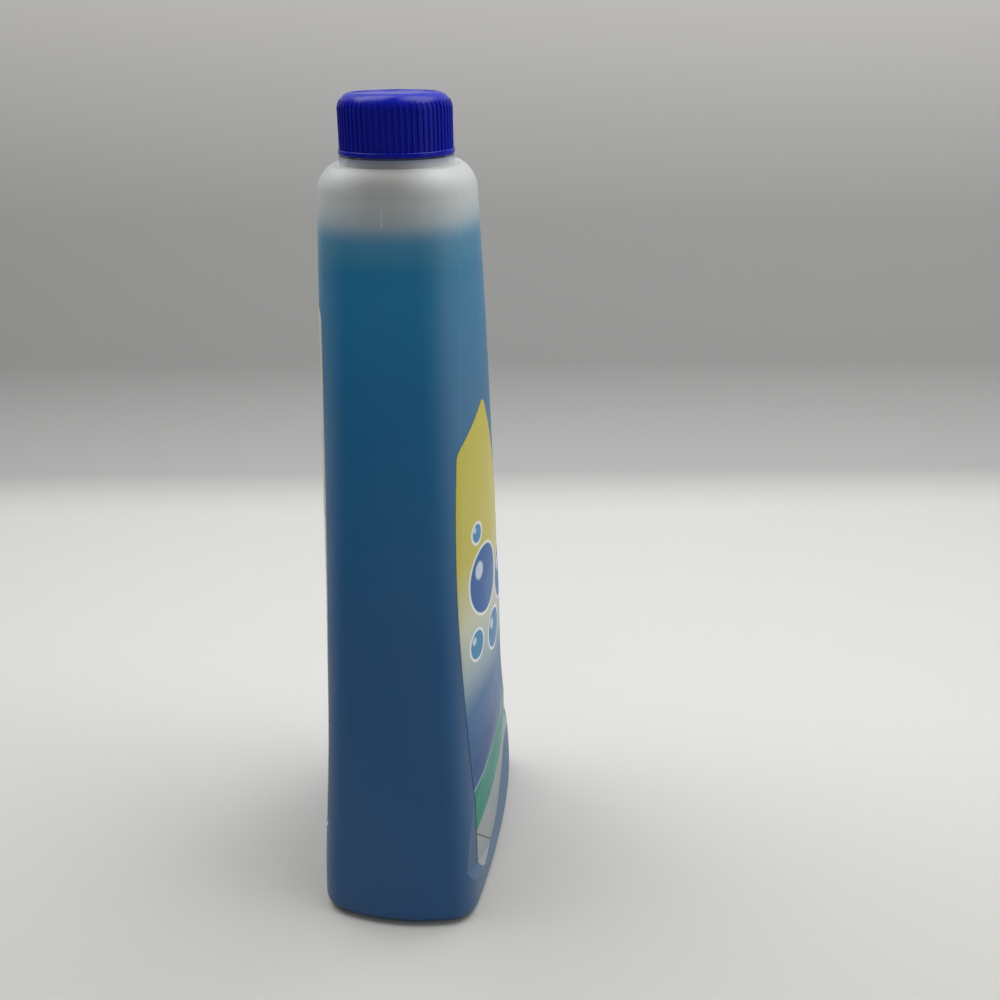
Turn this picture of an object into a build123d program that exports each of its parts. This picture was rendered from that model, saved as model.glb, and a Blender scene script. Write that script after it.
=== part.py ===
from build123d import *
import os
from math import cos, hypot, pi, radians, sin

os.makedirs("parts", exist_ok=True)

# Lengths are in millimetres and angles in degrees. X runs across the label,
# Y through the bottle and Z up. The front label faces -Y, and the origin is the middle of the base.

# Bottle body: a tall blown shell that narrows upwards and is flat-arched in plan
base_width = 105.0
shoulder_width = 43.6
belly_depth = 57.2
base_depth = 56.0
shoulder_depth = 47.0
shoulder_height = 246.0
belly_height = 40.0
side_arch_radius = 70.0
base_side_depth = 53.0
shoulder_side_depth = 34.4
base_corner_radius = 10.0
shoulder_corner_radius = 13.0
heel_radius = 4.3
shoulder_radius = 9.4
shoulder_trim = 1.4
bottle_wall = 1.0
section_count = 11

# Foot: front and back swell out, and a slanted ledge cuts the swell off under each label
foot_swell = 3.1
foot_swell_height = 22.0
foot_swell_span = 30.0
panel_arch_radius = 220.0
ledge_end_height = 7.0
ledge_flat_x = -31.0
ledge_flat_height = 9.6
ledge_low_x = -16.0
ledge_low_height = 10.4
ledge_crest_x = 19.0
ledge_crest_height = 26.5
ledge_steepness = 65.0

# Underside: a pushed-up middle, with the weld of the pinched parison along it
push_up_height = 3.0
push_up_margin = 8.5
push_up_radius = 2.4
weld_length = 46.0
weld_width = 1.4
weld_height = 0.8

# Neck
neck_bore_radius = 12.6
neck_wall = 1.5
neck_rim_height = 263.5
neck_base_radius = 17.2
neck_base_height = 2.3
neck_base_wall = 1.6
neck_edge_radius = 0.4

# Cap: a ribbed screw cap with a plain bead round its mouth
skirt_clearance = 1.3
skirt_wall = 1.2
skirt_gap = 0.5
rib_count = 60
rib_radius = 0.45
rib_sink = 0.05
bead_height = 1.5
bead_width = 0.75
cap_top_thickness = 1.4
cap_shoulder_radius = 4.2
cap_edge_radius = 0.4
top_disc_margin = 0.3
top_disc_sink = 0.3

# Liner disc in the cap, which seals on the rim
liner_thickness = 1.0
liner_side_clearance = 0.3
liner_face_clearance = 0.05
liner_bevel = 0.15

# Cleaner, and the two film labels
fill_height = 229.0
liquid_film_gap = 0.15
label_gap = 0.02
label_thickness = 0.14
label_margin = 1.5
label_tip = (-33.4, 0.0)
label_edge = (-34.9, 80.0)
label_shoulder = (-25.8, 163.2)
label_apex = (-7.7, 176.6)
label_sail = (13.0, 128.0)
label_heel = (34.0, 40.0)
label_corner_radius = 5.0
label_apex_radius = 2.0
back_label_top = 205.0
back_label_side_margin = 8.0


def between(low_value, high_value, height):
    """A size that changes evenly from the base to the shoulder."""
    return low_value + (high_value - low_value) * height / shoulder_height


def half_depth(height):
    """Half the depth between the two label faces, with the swell of the foot."""
    if height < belly_height:
        reach = (belly_height - height) / belly_height
        depth = belly_depth - (belly_depth - base_depth) * reach**2
    else:
        reach = (height - belly_height) / (shoulder_height - belly_height)
        depth = belly_depth - (belly_depth - shoulder_depth) * reach**2
    offset_share = min(abs(height - foot_swell_height) / foot_swell_span, 1)
    return depth / 2 + foot_swell * cos(offset_share * pi / 2) ** 2


def half_side(height):
    """Half the depth of the narrow side between its two folds."""
    reach = max(1 - height / shoulder_height, 0)
    return (shoulder_side_depth + (base_side_depth - shoulder_side_depth) * reach**2) / 2


def plan_section(height, inset):
    """Plan outline at one height, less an inset: two arched sides, two arched faces, four rounded folds."""
    width = between(base_width, shoulder_width, height) / 2
    depth = half_depth(height)
    side_centre = width - side_arch_radius
    fold_x = side_centre + (side_arch_radius**2 - half_side(height) ** 2) ** 0.5
    face_rise = depth - half_side(height)
    face_radius = (fold_x**2 + face_rise**2) / (2 * face_rise)
    face_centre = depth - face_radius
    # The fold is where the two arcs still meet after both have moved in by the inset
    spacing = hypot(side_centre, face_centre)
    side_radius = side_arch_radius - inset
    along = (side_radius**2 - (face_radius - inset) ** 2 + spacing**2) / (2 * spacing)
    across = (side_radius**2 - along**2) ** 0.5
    x = side_centre - (along * side_centre + across * face_centre) / spacing
    y = (along * face_centre - across * side_centre) / spacing
    with BuildSketch(Plane.XY.offset(height)) as outline:
        with BuildLine():
            ThreePointArc((x, -y), (width - inset, 0), (x, y))
            ThreePointArc((x, y), (0, depth - inset), (-x, y))
            ThreePointArc((-x, y), (inset - width, 0), (-x, -y))
            ThreePointArc((-x, -y), (0, inset - depth), (x, -y))
        make_face()
        fillet(outline.vertices(), between(base_corner_radius, shoulder_corner_radius, height) - inset)
    return outline.sketch


def face_plane(side):
    """Upright plane that touches the belly in front (side 1) or at the back (side -1)."""
    return Plane(origin=(0, -side * belly_depth / 2, 0), x_dir=(side, 0, 0), z_dir=(0, -side, 0))


def above_ledge(raised):
    """All that lies above the ledge line of a face, with X across that face and Y upwards."""
    reach = base_width
    top = shoulder_height
    with BuildSketch() as field:
        with BuildLine():
            Spline(
                (-base_width / 2, ledge_end_height + raised),
                (ledge_flat_x, ledge_flat_height + raised),
                (ledge_low_x, ledge_low_height + raised),
                (ledge_crest_x, ledge_crest_height + raised),
                (base_width / 2, ledge_end_height + raised),
            )
            Polyline(
                (base_width / 2, ledge_end_height + raised),
                (reach, ledge_end_height + raised),
                (reach, top),
                (-reach, top),
                (-reach, ledge_end_height + raised),
                (-base_width / 2, ledge_end_height + raised),
            )
        make_face()
    return field.sketch


def panel_recess(side, inset):
    """What the ledge takes off one face: the swell above it, down to a flat-arched panel."""
    slant = (0, -side * cos(radians(ledge_steepness)), -sin(radians(ledge_steepness)))
    panel_centre_y = side * (panel_arch_radius - belly_depth / 2)
    with BuildPart() as recess:
        with BuildSketch(face_plane(side)):
            add(above_ledge(-inset))
        extrude(amount=2 * belly_depth, dir=slant, both=True)
        with BuildSketch(Plane.XY.offset(-shoulder_height)):
            with Locations((0, panel_centre_y)):
                Circle(panel_arch_radius - inset)
        extrude(amount=3 * shoulder_height, mode=Mode.SUBTRACT)
    return recess.part


def body_form(inset):
    """The closed body under its neck, grown or shrunk by a wall."""
    bottom = max(inset, 0)
    top = shoulder_height + shoulder_trim - bottom
    heights = [bottom + (top - bottom) * (step / (section_count - 1)) ** 1.2 for step in range(section_count)]
    with BuildPart() as form:
        loft(sections=[plan_section(height, inset) for height in heights])
        fillet(form.faces().sort_by(Axis.Z)[0].edges(), heel_radius - bottom)
        fillet(form.faces().sort_by(Axis.Z)[-1].edges(), shoulder_radius - bottom)
        with BuildSketch(Plane.XY.offset(shoulder_height - bottom)):
            Rectangle(2 * base_width, 2 * belly_depth)
        extrude(amount=2 * shoulder_trim, mode=Mode.SUBTRACT)
        add(panel_recess(1, inset), mode=Mode.SUBTRACT)
        add(panel_recess(-1, inset), mode=Mode.SUBTRACT)
    return form.part


def push_up(grown):
    """The hollow pushed up into the base, or that hollow with a wall round it, drawn on below the base."""
    with BuildPart() as hollow:
        extrude(plan_section(0, push_up_margin - grown), amount=push_up_height + grown, both=True)
        fillet(hollow.faces().sort_by(Axis.Z)[-1].edges(), push_up_radius + grown)
    return hollow.part


def cavity_form(inset):
    """The inside of the body: its form less a wall, standing over the pushed-up base."""
    with BuildPart() as cavity:
        add(body_form(inset))
        add(push_up(inset), mode=Mode.SUBTRACT)
    return cavity.part


# Heights and radii that follow from the neck, in the order the pieces stack up
neck_radius = neck_bore_radius + neck_wall
neck_base_top = shoulder_height + neck_base_height
cap_bottom = neck_base_top + skirt_gap
skirt_inner_radius = neck_radius + skirt_clearance
skirt_radius = skirt_inner_radius + skirt_wall
bead_radius = skirt_radius + bead_width
rib_crest_radius = skirt_radius - rib_sink + rib_radius
bead_top = cap_bottom + bead_height
liner_bottom = neck_rim_height + liner_face_clearance
liner_top = liner_bottom + liner_thickness
cap_ceiling = liner_top + liner_face_clearance
cap_top = cap_ceiling + cap_top_thickness
cap_shoulder_start = cap_top - cap_shoulder_radius
top_disc_radius = skirt_radius - cap_shoulder_radius

# Bottle: one blown shell, its neck turned on top and its base pushed up
with BuildPart() as bottle:
    add(body_form(0))
    with BuildSketch(Plane.XZ) as neck_profile:
        with BuildLine():
            Polyline(
                (0, shoulder_height - bottle_wall),
                (neck_base_radius, shoulder_height - bottle_wall),
                (neck_base_radius, neck_base_top),
                (neck_radius, neck_base_top),
                (neck_radius, neck_rim_height),
                (0, neck_rim_height),
                close=True,
            )
        make_face()
        turned_corners = neck_profile.vertices().filter_by(lambda corner: corner.X > neck_bore_radius)
        fillet(turned_corners.filter_by(lambda corner: corner.Z > shoulder_height), neck_edge_radius)
    revolve(axis=Axis.Z)
    add(cavity_form(bottle_wall), mode=Mode.SUBTRACT)
    with BuildSketch(Plane.XZ) as bore_profile:
        with BuildLine():
            Polyline(
                (0, shoulder_height - 2 * bottle_wall),
                (neck_base_radius - neck_base_wall, shoulder_height - 2 * bottle_wall),
                (neck_base_radius - neck_base_wall, shoulder_height),
                (neck_bore_radius, neck_base_top + neck_base_wall),
                (neck_bore_radius, neck_rim_height),
                (0, neck_rim_height),
                close=True,
            )
        make_face()
    revolve(axis=Axis.Z, mode=Mode.SUBTRACT)
    add(push_up(0), mode=Mode.SUBTRACT)
    with BuildSketch(Plane.XY.offset(push_up_height - weld_height)):
        SlotOverall(weld_length, weld_width)
    extrude(amount=weld_height + bottle_wall / 2)

bottle.part.label = "bottle"
export_step(bottle.part, "parts/bottle.step")

# Cap: a moulded cup with fine ribs that die out on its rounded shoulder
with BuildPart() as cap_ribs:
    with BuildSketch(Plane.XY.offset(bead_top)):
        with PolarLocations(skirt_radius - rib_sink, rib_count):
            Circle(rib_radius)
    extrude(amount=cap_top - bead_top)
    with BuildSketch(Plane.XZ) as rib_envelope:
        with BuildLine():
            RadiusArc(
                (rib_crest_radius, cap_shoulder_start),
                (top_disc_radius, cap_shoulder_start + cap_shoulder_radius - rib_sink),
                -(cap_shoulder_radius + rib_radius),
            )
            Polyline(
                (top_disc_radius, cap_shoulder_start + cap_shoulder_radius - rib_sink),
                (top_disc_radius, bead_top),
                (rib_crest_radius, bead_top),
                (rib_crest_radius, cap_shoulder_start),
            )
        make_face()
    revolve(axis=Axis.Z, mode=Mode.INTERSECT)

with BuildPart() as cap:
    with BuildSketch(Plane.XZ) as cap_profile:
        with BuildLine():
            RadiusArc((skirt_radius, cap_shoulder_start), (top_disc_radius, cap_top), -cap_shoulder_radius)
            Polyline(
                (top_disc_radius, cap_top),
                (top_disc_radius - top_disc_margin, cap_top - top_disc_sink),
                (0, cap_top - top_disc_sink),
                (0, cap_ceiling),
                (skirt_inner_radius, cap_ceiling),
                (skirt_inner_radius, cap_bottom),
                (bead_radius, cap_bottom),
                (bead_radius, bead_top),
                (skirt_radius, bead_top),
                (skirt_radius, cap_shoulder_start),
            )
        make_face()
        bead_corners = cap_profile.vertices().filter_by(lambda corner: corner.X > skirt_radius + bead_width / 2)
        fillet(bead_corners, cap_edge_radius)
    revolve(axis=Axis.Z)
    add(cap_ribs.part)

cap.part.label = "cap"
export_step(cap.part, "parts/cap.step")

# Cap liner: a foamed disc under the cap's ceiling
with BuildPart() as cap_liner:
    with BuildSketch(Plane.XY.offset(liner_bottom)):
        Circle(skirt_inner_radius - liner_side_clearance)
    extrude(amount=liner_thickness)
    chamfer(cap_liner.edges(), liner_bevel)

cap_liner.part.label = "cap_liner"
export_step(cap_liner.part, "parts/cap_liner.step")

# Cleaning liquid: fills the body to just under the shoulder
with BuildPart() as cleaning_liquid:
    add(cavity_form(bottle_wall + liquid_film_gap))
    with BuildSketch(Plane.XY.offset(fill_height)):
        Rectangle(2 * base_width, 2 * belly_depth)
    extrude(amount=shoulder_height, mode=Mode.SUBTRACT)

cleaning_liquid.part.label = "cleaning_liquid"
export_step(cleaning_liquid.part, "parts/cleaning_liquid.step")

# Thin skin round the body, from which both labels are cut
with BuildPart() as label_skin:
    add(body_form(-label_gap - label_thickness))
    add(body_form(-label_gap), mode=Mode.SUBTRACT)

# Front label: a sail-shaped film over the ledge, with its point left of the middle
with BuildSketch(face_plane(1)) as front_outline:
    with BuildLine():
        ThreePointArc(label_tip, label_edge, label_shoulder)
        Line(label_shoulder, label_apex)
        ThreePointArc(label_apex, label_sail, label_heel)
        Polyline(label_heel, (label_heel[0], 0), label_tip)
    make_face()
    add(above_ledge(label_margin), mode=Mode.INTERSECT)
    top_corners = front_outline.vertices().group_by(Axis.Y)[-1]
    fillet(top_corners, label_apex_radius)
    sharp_corners = [
        corner for corner in front_outline.vertices() if corner.Y < label_shoulder[1] + label_apex_radius
    ]
    fillet(sharp_corners, label_corner_radius)

with BuildPart() as front_label:
    extrude(front_outline.sketch, amount=belly_depth / 2, both=True)
    add(label_skin.part, mode=Mode.INTERSECT)

front_label.part.label = "front_label"
export_step(front_label.part, "parts/front_label.step")

# Back label: a taller film with a square top, over the same ledge
with BuildSketch(face_plane(-1)) as back_outline:
    with BuildLine():
        Polyline(
            (-between(base_width, shoulder_width, 0) / 2 + back_label_side_margin, 0),
            (between(base_width, shoulder_width, 0) / 2 - back_label_side_margin, 0),
            (between(base_width, shoulder_width, back_label_top) / 2 - back_label_side_margin, back_label_top),
            (-between(base_width, shoulder_width, back_label_top) / 2 + back_label_side_margin, back_label_top),
            close=True,
        )
    make_face()
    add(above_ledge(label_margin), mode=Mode.INTERSECT)
    fillet(back_outline.vertices(), label_corner_radius)

with BuildPart() as back_label:
    extrude(back_outline.sketch, amount=belly_depth / 2, both=True)
    add(label_skin.part, mode=Mode.INTERSECT)

back_label.part.label = "back_label"
export_step(back_label.part, "parts/back_label.step")
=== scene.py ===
import bpy
import math
from mathutils import Matrix, Vector


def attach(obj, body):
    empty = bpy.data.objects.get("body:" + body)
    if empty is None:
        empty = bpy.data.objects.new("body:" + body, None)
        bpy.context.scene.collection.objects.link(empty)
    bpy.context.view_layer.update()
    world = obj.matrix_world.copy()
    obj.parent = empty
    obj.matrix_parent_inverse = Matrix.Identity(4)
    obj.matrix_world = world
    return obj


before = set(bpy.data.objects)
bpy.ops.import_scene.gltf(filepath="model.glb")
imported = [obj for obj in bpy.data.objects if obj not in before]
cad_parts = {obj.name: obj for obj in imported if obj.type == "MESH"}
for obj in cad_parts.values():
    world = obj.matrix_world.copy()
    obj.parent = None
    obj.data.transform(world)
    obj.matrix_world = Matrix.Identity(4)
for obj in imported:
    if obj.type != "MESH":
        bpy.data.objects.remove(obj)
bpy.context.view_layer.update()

# Bottle shell: one blow-moulded piece of natural polyethylene with satin, milky walls.
# The wall takes on the colour of the cleaner behind it and turns clear and grey above the level.
# It has a fine grain from the sand-blasted mould and a thin parting line up both narrow sides.
# Sizes are in metres. A pair of them is where a change of tone begins and where it ends.
wall_top = 0.25
level_band = (0.224, 0.236)
middle_band = (0.002, 0.017)
shoulder_rise = (0.2370, 0.2425)
heel_band = (0.0004, 0.0040)
ring_below = (0.2464, 0.2486)
ring_above = (0.2494, 0.2510)
shoulder_height = 0.246
fold_reach = 0.0250
fold_lean = 0.0090
fold_band = (-0.0062, 0.0024)
ledge_side = (-0.001, 0.004)
foot_band = (0.030, 0.040)
seam_edge = (0.00010, 0.00028)
seam_foot = (0.2300, 0.2310)
seam_head = (0.2340, 0.2365)
milky = (0.790, 0.810, 0.790)


def new_material(name):
    """A node material whose principled shader feeds the surface."""
    material = bpy.data.materials.new(name)
    material.use_nodes = True
    return material, material.node_tree.nodes, material.node_tree.links


def object_xyz(nodes, links):
    """The piece's own coordinates, split in three."""
    place = nodes.new("ShaderNodeTexCoord")
    parts = nodes.new("ShaderNodeSeparateXYZ")
    links.new(place.outputs["Object"], parts.inputs[0])
    return place.outputs["Object"], parts.outputs["X"], parts.outputs["Y"], parts.outputs["Z"]


def ramp(nodes, links, value, low, high, stops):
    """Colours along a value, from low to high; each stop is a place between 0 and 1 and a colour."""
    spread = nodes.new("ShaderNodeMapRange")
    spread.inputs["From Min"].default_value = low
    spread.inputs["From Max"].default_value = high
    links.new(value, spread.inputs["Value"])
    colours = nodes.new("ShaderNodeValToRGB")
    while len(colours.color_ramp.elements) < len(stops):
        colours.color_ramp.elements.new(0.5)
    for element, (place, colour) in zip(colours.color_ramp.elements, stops):
        element.position = place
        element.color = (*colour, 1)
    links.new(spread.outputs["Result"], colours.inputs["Fac"])
    return colours.outputs["Color"]


def fade(nodes, links, value, low, high, start=0.0, end=1.0):
    """A number that runs smoothly from start to end while the value runs from low to high."""
    spread = nodes.new("ShaderNodeMapRange")
    spread.interpolation_type = "SMOOTHSTEP"
    spread.inputs["From Min"].default_value = low
    spread.inputs["From Max"].default_value = high
    spread.inputs["To Min"].default_value = start
    spread.inputs["To Max"].default_value = end
    links.new(value, spread.inputs["Value"])
    return spread.outputs["Result"]


def maths(nodes, links, kind, first, second=None, third=None):
    """One arithmetic step between values or numbers."""
    step = nodes.new("ShaderNodeMath")
    step.operation = kind
    for socket, value in zip(step.inputs, (first, second, third)):
        if isinstance(value, (int, float)):
            socket.default_value = value
        elif value is not None:
            links.new(value, socket)
    return step.outputs[0]


def mixed(nodes, links, share, low, high, kind="MIX"):
    """Two colours mixed by a share."""
    mix = nodes.new("ShaderNodeMix")
    mix.data_type = "RGBA"
    mix.blend_type = kind
    for socket, value in ((mix.inputs[0], share), (mix.inputs[6], low), (mix.inputs[7], high)):
        if isinstance(value, (int, float)):
            socket.default_value = value
        elif isinstance(value, tuple):
            socket.default_value = (*value, 1)
        else:
            links.new(value, socket)
    return mix.outputs[2]


def noise(nodes, links, place, scale, detail=2.0, stretch=(1, 1, 1)):
    """Cloudy noise over the piece."""
    shape = nodes.new("ShaderNodeMapping")
    shape.inputs["Scale"].default_value = stretch
    links.new(place, shape.inputs["Vector"])
    cloud = nodes.new("ShaderNodeTexNoise")
    cloud.inputs["Scale"].default_value = scale
    cloud.inputs["Detail"].default_value = detail
    links.new(shape.outputs[0], cloud.inputs["Vector"])
    return cloud.outputs[0]


def bump(nodes, links, height, strength, distance):
    """Surface relief from a height field."""
    relief = nodes.new("ShaderNodeBump")
    relief.inputs["Strength"].default_value = strength
    relief.inputs["Distance"].default_value = distance
    links.new(height, relief.inputs["Height"])
    links.new(relief.outputs[0], nodes["Principled BSDF"].inputs["Normal"])


shell, nodes, links = new_material("natural_polyethylene")
wall = nodes["Principled BSDF"]
place, x, y, z = object_xyz(nodes, links)
# Painted shade: below the level the tint is darker towards the bottom, where less of the overhead light
# reaches
tint = ramp(nodes, links, z, 0.0, wall_top, (
    (0.00, (0.018, 0.098, 0.265)),
    (0.40, (0.016, 0.116, 0.305)),
    (0.72, (0.003, 0.174, 0.405)),
    (0.87, (0.004, 0.238, 0.480)),
    (0.905, (0.080, 0.335, 0.545)),
    (0.914, (0.240, 0.450, 0.625)),
    (0.930, (0.650, 0.740, 0.775)),
    (0.945, (0.800, 0.830, 0.815)),
    (0.975, milky),
))
patches = noise(nodes, links, place, 28.0, 3.0, (1, 1, 0.35))
patchy = fade(nodes, links, patches, 0.35, 0.75, 0.0, 0.05)
tint = mixed(nodes, links, patchy, tint, (0.30, 0.40, 0.45))
from_middle = maths(nodes, links, "ABSOLUTE", y)

# Painted shade: above the level the middle of the wall is darkened, most of all under the shoulder
hollow_painted_shade = maths(nodes, links, "MULTIPLY", fade(nodes, links, from_middle, *middle_band, 0.32, 0.0),
               fade(nodes, links, z, *level_band))
hollow_painted_shade = maths(nodes, links, "MULTIPLY", hollow_painted_shade, fade(nodes, links, z, *shoulder_rise, 1.0, 1.9))
tint = mixed(nodes, links, hollow_painted_shade, tint, (0.200, 0.195, 0.170))
heel_shade = fade(nodes, links, z, *heel_band, 0.60, 0.0)
tint = mixed(nodes, links, heel_shade, tint, (0.000, 0.024, 0.090))

# Painted reflection and shade of the cap: the ring under it is tinted a darker blue
cap_reflection_and_shade = maths(nodes, links, "MULTIPLY", fade(nodes, links, z, *ring_below, 0.0, 0.80),
                 fade(nodes, links, z, *ring_above, 1.0, 0.0))
tint = mixed(nodes, links, cap_reflection_and_shade, tint, (0.220, 0.290, 0.500))

# The wall is a little paler along its upright folds and round the ledge: partly the milky wall itself where
# the cleaner behind it is thinner, partly a painted sheen of the light these turns catch
upwards = fade(nodes, links, z, 0.0, shoulder_height)
fold_place = maths(nodes, links, "SUBTRACT", fold_reach, maths(nodes, links, "MULTIPLY", upwards, fold_lean))
fold_line = maths(nodes, links, "SUBTRACT", from_middle, fold_place)
fold_paleness_and_sheen = fade(nodes, links, fold_line, *fold_band, 0.0, 0.17)
tint = mixed(nodes, links, fold_paleness_and_sheen, tint, (0.370, 0.440, 0.430))
ledge_paleness_and_sheen = maths(nodes, links, "MULTIPLY", fade(nodes, links, fold_line, *ledge_side),
                    fade(nodes, links, z, *foot_band, 0.22, 0.0))
tint = mixed(nodes, links, ledge_paleness_and_sheen, tint, (0.400, 0.460, 0.450))
seam = fade(nodes, links, from_middle, *seam_edge, 1.0, 0.0)
seam_light = maths(nodes, links, "MULTIPLY", seam, fade(nodes, links, z, *seam_foot, 0.0, 0.55))
seam_light = maths(nodes, links, "MULTIPLY", seam_light, fade(nodes, links, z, *seam_head, 1.0, 0.12))
tint = mixed(nodes, links, seam_light, tint, (0.90, 0.91, 0.89))
links.new(tint, wall.inputs["Base Color"])
links.new(ramp(nodes, links, z, 0.0, wall_top, (
    (0.00, (0.78, 0.78, 0.78)),
    (0.84, (0.78, 0.78, 0.78)),
    (0.93, (0.58, 0.58, 0.58)),
    (1.00, (0.62, 0.62, 0.62)),
)), wall.inputs["Alpha"])
grain = noise(nodes, links, place, 1600.0, 2.0)
waves = noise(nodes, links, place, 60.0, 2.0, (1, 1, 0.4))
links.new(fade(nodes, links, waves, 0.3, 0.7, 0.36, 0.46), wall.inputs["Roughness"])
relief = maths(nodes, links, "MULTIPLY", grain, 0.003)
relief = maths(nodes, links, "ADD", relief, maths(nodes, links, "MULTIPLY", waves, 0.6))
relief = maths(nodes, links, "ADD", relief, seam)
bump(nodes, links, relief, 0.35, 0.00015)
wall.inputs["IOR"].default_value = 1.50
wall.inputs["Specular IOR Level"].default_value = 0.35
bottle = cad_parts["bottle"]
bottle.data.materials.clear()
bottle.data.materials.append(shell)

# Cleaner: about 0.8 litre of clear blue liquid, poured in up to just under the shoulder.
# Its level shows through the wall as a soft edge.
fill_height = 0.229
liquid, nodes, links = new_material("blue_cleaner")
fluid = nodes["Principled BSDF"]
place, x, y, z = object_xyz(nodes, links)
# Painted shade: the cleaner is darker towards the bottom, where less of the overhead light reaches
cleaner_colour_and_shade = ramp(nodes, links, z, 0.0, fill_height, (
    (0.0, (0.012, 0.045, 0.110)),
    (0.6, (0.006, 0.055, 0.135)),
    (1.0, (0.006, 0.085, 0.180)),
))
links.new(cleaner_colour_and_shade, fluid.inputs["Base Color"])
fluid.inputs["Roughness"].default_value = 0.06
fluid.inputs["IOR"].default_value = 1.34
fluid.inputs["Alpha"].default_value = 0.97
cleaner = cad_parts["cleaning_liquid"]
cleaner.data.materials.clear()
cleaner.data.materials.append(liquid)

# Neck thread: a right-handed ridge moulded with the neck, which the cap screws on to.
# It is part of the polyethylene shell and runs a little over one turn.
thread_pitch = 0.0042333
thread_turns = 1.25
thread_low = 0.2520
thread_root = 0.0021
thread_crest = 0.0010
thread_run_out = 0.125
steps_per_turn = 96
neck_radius = 0.0141
neck_thread_radius = 0.0151
thread_sink = 0.0002


def thread_ridge(name, inner, outer, low):
    """A helical ridge from the wall at inner to its crest at outer, with sloped flanks and sunk ends."""
    bpy.ops.object.select_all(action="DESELECT")
    bpy.ops.mesh.primitive_plane_add(size=1, location=(0, 0, 0))
    ridge = bpy.context.object
    ridge.name = name
    root, crest = thread_root / 2, thread_crest / 2
    corners = [(inner, -root), (outer, -crest), (outer, crest), (inner, root)]
    ring = [ridge.data.polygons[0].vertices[k] for k in range(4)]
    for index, (radius, height) in zip(ring, corners):
        ridge.data.vertices[index].co = (radius, 0, low + height)
    bpy.ops.object.mode_set(mode="EDIT")
    bpy.ops.mesh.select_all(action="SELECT")
    bpy.ops.mesh.delete(type="ONLY_FACE")
    bpy.ops.object.mode_set(mode="OBJECT")
    screw = ridge.modifiers.new("helix", "SCREW")
    screw.angle = 2 * math.pi * thread_turns
    screw.screw_offset = thread_pitch * thread_turns
    screw.steps = int(steps_per_turn * thread_turns)
    screw.render_steps = screw.steps
    screw.use_merge_vertices = False
    bpy.ops.object.modifier_apply(modifier="helix")
    # The first and last eighth of a turn run out into the wall that carries the ridge
    for vertex in ridge.data.vertices:
        radius = math.hypot(vertex.co.x, vertex.co.y)
        rise = (vertex.co.z - low) / (thread_pitch * thread_turns)
        travelled = min(max(rise, 0), 1) * thread_turns
        share = min(travelled, thread_turns - travelled) / thread_run_out
        if abs(radius - outer) < abs(radius - inner) and share < 1:
            sunk = inner + (outer - inner) * max(share, 0.0)
            vertex.co.x *= sunk / radius
            vertex.co.y *= sunk / radius
    bpy.ops.object.mode_set(mode="EDIT")
    bpy.ops.mesh.select_all(action="SELECT")
    bpy.ops.mesh.fill_holes(sides=4)
    bpy.ops.mesh.select_all(action="SELECT")
    bpy.ops.mesh.normals_make_consistent(inside=False)
    bpy.ops.object.mode_set(mode="OBJECT")
    bpy.ops.object.shade_smooth_by_angle(angle=math.radians(35))
    return ridge


neck_thread = thread_ridge("neck_thread", neck_radius - thread_sink, neck_thread_radius, thread_low)
neck_thread.data.materials.append(shell)
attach(neck_thread, "bottle")

# Screw cap: one injection-moulded piece of deep blue polypropylene with a satin top.
# Sixty fine ribs run down the skirt to a plain bead.
rib_crest = (0.01672, 0.01700)
cap_plastic, nodes, links = new_material("deep_blue_polypropylene")
blue = nodes["Principled BSDF"]
place, x, y, z = object_xyz(nodes, links)
flow = noise(nodes, links, place, 140.0, 3.0)
flow_share = fade(nodes, links, flow, 0.3, 0.7, 0.0, 1.0)
deep = mixed(nodes, links, flow_share, (0.0005, 0.005, 0.300), (0.001, 0.007, 0.360))
radius = maths(nodes, links, "SQRT", maths(
    nodes, links, "ADD", maths(nodes, links, "MULTIPLY", x, x), maths(nodes, links, "MULTIPLY", y, y)))
rubbed = maths(nodes, links, "MULTIPLY", fade(nodes, links, radius, *rib_crest),
               fade(nodes, links, noise(nodes, links, place, 420.0, 4.0), 0.45, 0.75, 0.0, 0.10))
links.new(mixed(nodes, links, rubbed, deep, (0.03, 0.05, 0.50)), blue.inputs["Base Color"])
links.new(fade(nodes, links, flow, 0.3, 0.7, 0.22, 0.31), blue.inputs["Roughness"])
bump(nodes, links, noise(nodes, links, place, 2600.0, 2.0), 0.20, 0.00005)
blue.inputs["IOR"].default_value = 1.49
blue.inputs["Specular IOR Level"].default_value = 0.19
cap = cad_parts["cap"]
cap.data.materials.clear()
cap.data.materials.append(cap_plastic)

# Cap thread: the matching ridge inside the skirt, half a pitch away from the neck's.
# It is moulded in one with the cap, of the same plastic.
skirt_bore = 0.0156
cap_thread_radius = 0.0144
cap_thread = thread_ridge("cap_thread", skirt_bore, cap_thread_radius, thread_low + thread_pitch / 2)
cap_thread.data.materials.append(cap_plastic)
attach(cap_thread, "cap")

# Cap liner: a foamed polyethylene disc pressed into the cap, which seals on the rim of the neck.
# Its cells show as a fine pitted surface.
foam, nodes, links = new_material("foamed_polyethylene")
disc = nodes["Principled BSDF"]
place, x, y, z = object_xyz(nodes, links)
cells = nodes.new("ShaderNodeTexVoronoi")
cells.inputs["Scale"].default_value = 2200.0
links.new(place, cells.inputs["Vector"])
cell_colour = mixed(nodes, links, cells.outputs["Distance"], (0.70, 0.71, 0.69), (0.84, 0.84, 0.82))
links.new(cell_colour, disc.inputs["Base Color"])
disc.inputs["Roughness"].default_value = 0.75
bump(nodes, links, cells.outputs["Distance"], 0.4, 0.0001)
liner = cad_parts["cap_liner"]
liner.data.materials.clear()
liner.data.materials.append(foam)

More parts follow.
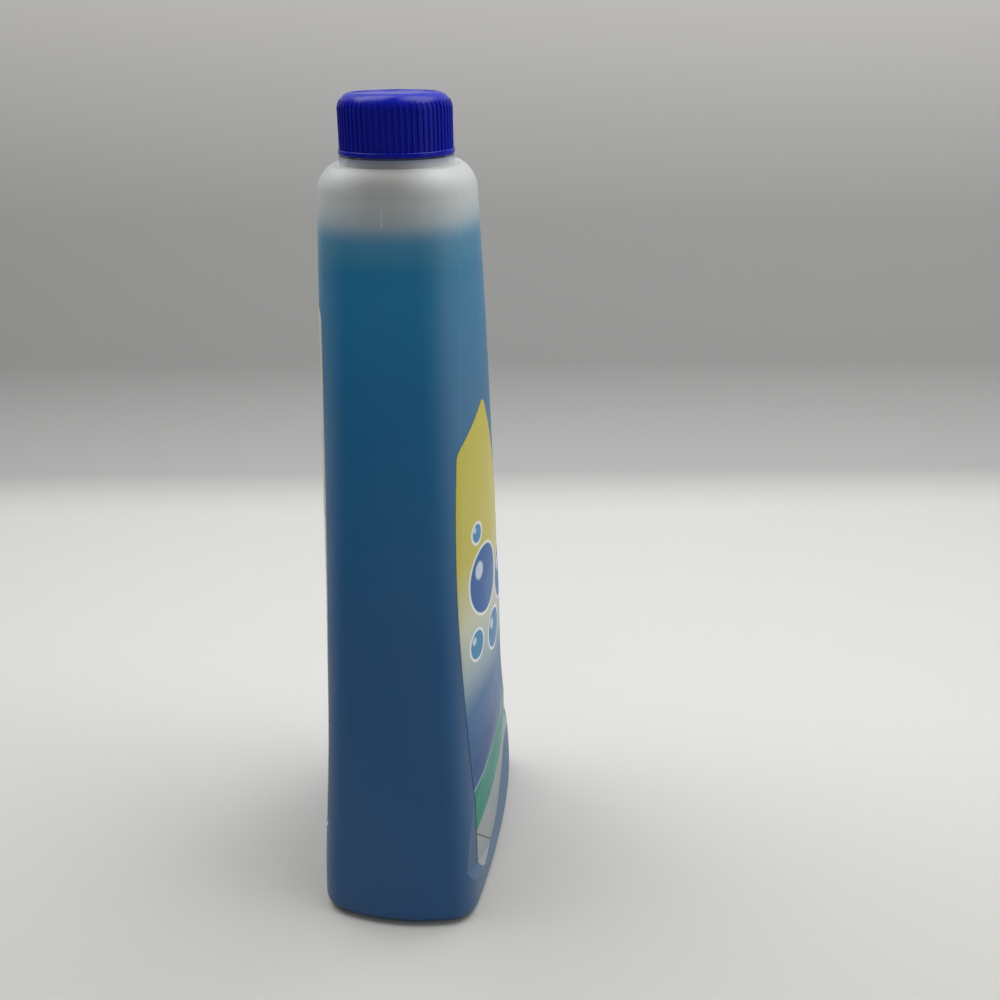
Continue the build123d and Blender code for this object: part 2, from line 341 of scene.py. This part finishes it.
# Front label: a sail-shaped printed film, wiped on over the front panel down to the ledge.
# Yellow fades through pale to blue, with bubbles, a slanted green band and a pale foot.
label_top = 0.18
edge = 0.0006
band_top = 0.0503
band_line_low = (0.0502, 0.0505)
band_line_high = (0.0511, 0.0514)
band_foot = 0.0338
corner_line_low = (-0.0056, -0.0053)
corner_line_high = (-0.0049, -0.0046)
bubble_rim = (0.80, 0.84, 0.84)
rim_width = 0.0009
deep_bubble = (0.030, 0.120, 0.360)
middle_bubble = (0.040, 0.180, 0.420)
light_bubble = (0.060, 0.260, 0.460)
film, nodes, links = new_material("front_print")
ink = nodes["Principled BSDF"]
place, x, y, z = object_xyz(nodes, links)
slope = maths(nodes, links, "MULTIPLY_ADD", x, -0.10, z)
print_colour = ramp(nodes, links, slope, 0.0, label_top, (
    (0.00, (0.030, 0.110, 0.280)),
    (0.32, (0.018, 0.078, 0.235)),
    (0.43, (0.040, 0.145, 0.320)),
    (0.51, (0.360, 0.450, 0.480)),
    (0.60, (0.580, 0.600, 0.470)),
    (0.72, (0.570, 0.510, 0.120)),
    (1.00, (0.580, 0.510, 0.090)),
))


def disc_mask(nodes, links, x, z, centre_x, centre_z, radius, soft=0.0003):
    """One inside a circle on the label, nought outside it."""
    across = maths(nodes, links, "SUBTRACT", x, centre_x)
    up = maths(nodes, links, "SUBTRACT", z, centre_z)
    squares = [maths(nodes, links, "MULTIPLY", side, side) for side in (across, up)]
    reach = maths(nodes, links, "SQRT", maths(nodes, links, "ADD", *squares))
    return fade(nodes, links, reach, radius - soft, radius + soft, 1.0, 0.0)


for centre_x, centre_z, radius, inside in (
    (-0.0140, 0.1160, 0.0125, deep_bubble),
    (-0.0235, 0.0960, 0.0058, light_bubble),
    (-0.0060, 0.0930, 0.0078, middle_bubble),
    (0.0090, 0.1080, 0.0105, deep_bubble),
    (-0.0185, 0.1340, 0.0040, light_bubble),
):
    whole = disc_mask(nodes, links, x, z, centre_x, centre_z, radius)
    print_colour = mixed(nodes, links, whole, print_colour, bubble_rim)
    middle = disc_mask(nodes, links, x, z, centre_x, centre_z, radius - rim_width)
    print_colour = mixed(nodes, links, middle, print_colour, inside)
    shine = disc_mask(
        nodes, links, x, z, centre_x - radius * 0.35, centre_z + radius * 0.38, radius * 0.24, 0.0006)
    shine = maths(nodes, links, "MULTIPLY", shine, 0.75)
    print_colour = mixed(nodes, links, shine, print_colour, (0.75, 0.82, 0.85))

band_line = maths(nodes, links, "MULTIPLY_ADD", x, -0.14, z)
green_top = fade(nodes, links, band_line, band_top, band_top + edge, 1.0, 0.0)
print_colour = mixed(nodes, links, green_top, print_colour, (0.006, 0.235, 0.175))
pale_edge = maths(nodes, links, "MULTIPLY", fade(nodes, links, band_line, *band_line_low),
                  fade(nodes, links, band_line, *band_line_high, 0.6, 0.0))
print_colour = mixed(nodes, links, pale_edge, print_colour, (0.400, 0.520, 0.540))
pale_top = fade(nodes, links, band_line, band_foot, band_foot + edge, 1.0, 0.0)
print_colour = mixed(nodes, links, pale_top, print_colour, (0.330, 0.360, 0.370))
corner_line = maths(nodes, links, "MULTIPLY_ADD", x, 0.94, z)
stripe = maths(nodes, links, "MULTIPLY", fade(nodes, links, corner_line, *corner_line_low),
               fade(nodes, links, corner_line, *corner_line_high, 1.0, 0.0))
stripe = maths(nodes, links, "MULTIPLY", stripe, pale_top)
print_colour = mixed(nodes, links, stripe, print_colour, (0.060, 0.080, 0.110))
specks = fade(nodes, links, noise(nodes, links, place, 900.0, 3.0), 0.55, 0.85, 0.0, 0.05)
print_colour = mixed(nodes, links, specks, print_colour, (0.75, 0.75, 0.72))


def film_finish(nodes, links, ink, place, print_colour):
    """The satin face of a printed film, slightly uneven, over the print."""
    links.new(print_colour, ink.inputs["Base Color"])
    gloss = fade(nodes, links, noise(nodes, links, place, 90.0, 2.0), 0.3, 0.7, 0.30, 0.38)
    links.new(gloss, ink.inputs["Roughness"])
    bump(nodes, links, noise(nodes, links, place, 700.0, 3.0), 0.12, 0.00006)
    ink.inputs["Specular IOR Level"].default_value = 0.17


film_finish(nodes, links, ink, place, print_colour)
front_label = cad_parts["front_label"]
front_label.data.materials.clear()
front_label.data.materials.append(film)

# Back label: a taller printed film on the back panel, pale with a yellow head and a blue foot.
# A pale border runs up both sides, and three thin rules cross the middle.
back_label_top = 0.21
border_band = (0.0410, 0.0414)
border_lean = 0.1248
rule_heights = (0.070, 0.106, 0.142)
rule_width = 0.0008
rule_edge = 0.0002
back_film, nodes, links = new_material("back_print")
ink = nodes["Principled BSDF"]
place, x, y, z = object_xyz(nodes, links)
print_colour = ramp(nodes, links, z, 0.0, back_label_top, (
    (0.00, (0.055, 0.150, 0.330)),
    (0.20, (0.055, 0.150, 0.330)),
    (0.26, (0.620, 0.650, 0.640)),
    (0.84, (0.640, 0.650, 0.620)),
    (0.90, (0.580, 0.520, 0.200)),
    (1.00, (0.580, 0.520, 0.135)),
))
side_reach = maths(nodes, links, "ABSOLUTE", x)
border = maths(nodes, links, "ADD", side_reach, maths(nodes, links, "MULTIPLY", z, border_lean))
border = fade(nodes, links, border, *border_band)
print_colour = mixed(nodes, links, border, print_colour, (0.640, 0.650, 0.630))
for height in rule_heights:
    end = height + rule_width
    rule = maths(nodes, links, "MULTIPLY", fade(nodes, links, z, height, height + rule_edge),
                 fade(nodes, links, z, end - rule_edge, end, 1.0, 0.0))
    print_colour = mixed(nodes, links, rule, print_colour, (0.200, 0.280, 0.380))
film_finish(nodes, links, ink, place, print_colour)
back_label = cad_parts["back_label"]
back_label.data.materials.clear()
back_label.data.materials.append(back_film)

# Floor and backdrop: one sweep of pale card, bent up behind the bottle, with painted shade where it bends.
# It stands square to the camera, whose turn it shares.
yaw = 0.13789
turn = (math.cos(yaw), math.sin(yaw))
sweep_back = 0.37
sweep_front = -1.4
sweep_half = 2.6
sweep_height = 1.6
bend_radius = 0.08
bpy.ops.object.select_all(action="DESELECT")
bpy.ops.mesh.primitive_plane_add(size=2.4, location=(0, 0, 0))
sweep = bpy.context.object
sweep.name = "sweep"
bpy.ops.object.mode_set(mode="EDIT")
bpy.ops.mesh.select_all(action="DESELECT")
bpy.ops.object.mode_set(mode="OBJECT")
for vertex in sweep.data.vertices:
    along, across = vertex.co.x, vertex.co.y
    reach = sweep_back if along > 0 else sweep_front
    wide = sweep_half if across > 0 else -sweep_half
    vertex.co = (reach * turn[0] - wide * turn[1], reach * turn[1] + wide * turn[0], 0)
for side in sweep.data.edges:
    ends = [sweep.data.vertices[k].co for k in side.vertices]
    side.select = all(end.x * turn[0] + end.y * turn[1] > 0 for end in ends)
bpy.context.tool_settings.mesh_select_mode = (False, True, False)
bpy.ops.object.mode_set(mode="EDIT")
bpy.ops.mesh.extrude_region_move(TRANSFORM_OT_translate={"value": (0, 0, sweep_height)})
bpy.ops.object.mode_set(mode="OBJECT")
bend = sweep.modifiers.new("bend", "BEVEL")
bend.width = bend_radius
bend.segments = 24
bend.limit_method = "ANGLE"
bpy.ops.object.modifier_apply(modifier="bend")
bpy.ops.object.transform_apply(location=True, rotation=True, scale=True)
bpy.ops.object.shade_smooth_by_angle(angle=math.radians(40))
card, nodes, links = new_material("pale_card")
paper = nodes["Principled BSDF"]
place, x, y, z = object_xyz(nodes, links)
# Painted shade: the card is grey up the bend and the wall, and a little darker and warmer towards the camera
backdrop_painted_shade = ramp(nodes, links, z, 0.0, 0.40, (
    (0.000, (0.620, 0.617, 0.600)),
    (0.004, (0.600, 0.597, 0.582)),
    (0.035, (0.405, 0.405, 0.397)),
    (0.100, (0.400, 0.399, 0.392)),
    (0.430, (0.400, 0.398, 0.391)),
    (0.750, (0.570, 0.558, 0.548)),
))
shade = ramp(nodes, links, x, -0.25, 0.25, (
    (0.00, (0.820, 0.812, 0.790)),
    (0.40, (0.900, 0.893, 0.868)),
    (0.70, (1.00, 1.00, 1.00)),
))
links.new(mixed(nodes, links, 1.0, backdrop_painted_shade, shade, "MULTIPLY"), paper.inputs["Base Color"])
paper.inputs["Roughness"].default_value = 0.85
sweep.data.materials.clear()
sweep.data.materials.append(card)

# Light: a soft box overhead on either side, a weaker one from the label's side, and an even pale room.
for name, spot, aim, size, power in (
    ("left_box", (0.12, 0.34, 0.90), (0.03, 0.0, 0.05), 0.55, 4.8),
    ("right_box", (0.12, -0.34, 0.90), (0.03, 0.0, 0.05), 0.55, 5.2),
    ("side_box", (-0.15, -0.95, 0.45), (0.0, 0.0, 0.12), 0.7, 1.3),
):
    lamp = bpy.data.lights.new(name, "AREA")
    lamp.shape = "SQUARE"
    lamp.size = size
    lamp.energy = power
    box = bpy.data.objects.new(name, lamp)
    box.location = spot
    box.rotation_euler = (Vector(aim) - Vector(spot)).to_track_quat("-Z", "Y").to_euler()
    bpy.context.collection.objects.link(box)
room = bpy.data.worlds.new("room")
room.use_nodes = True
room.node_tree.nodes["Background"].inputs["Color"].default_value = (0.95, 0.97, 1.0, 1)
room.node_tree.nodes["Background"].inputs["Strength"].default_value = 0.26
bpy.context.scene.world = room
bpy.context.scene.view_settings.view_transform = "Standard"

# Camera: a little above the cap, looking down along the narrow side, front label at a slant.
# The focal length was fitted in pixels of the square photograph.
photo_width = 1000
focal_pixels = 1108
sensor_width = 36.0
eye = Vector((-0.33655, -0.07681, 0.28267))
pitch = 0.40249
roll = -0.008636
forward = Vector((math.cos(yaw) * math.cos(pitch), math.sin(yaw) * math.cos(pitch), -math.sin(pitch)))
level_right = Vector((math.sin(yaw), -math.cos(yaw), 0))
level_up = level_right.cross(forward)
right = level_right * math.cos(roll) + level_up * math.sin(roll)
up = level_up * math.cos(roll) - level_right * math.sin(roll)
lens = bpy.data.cameras.new("camera")
lens.sensor_width = sensor_width
lens.lens = sensor_width * focal_pixels / photo_width
camera = bpy.data.objects.new("camera", lens)
camera.rotation_mode = "QUATERNION"
camera.location = eye
camera.rotation_quaternion = Matrix((right, up, -forward)).transposed().to_quaternion()
bpy.context.collection.objects.link(camera)
bpy.context.scene.camera = camera
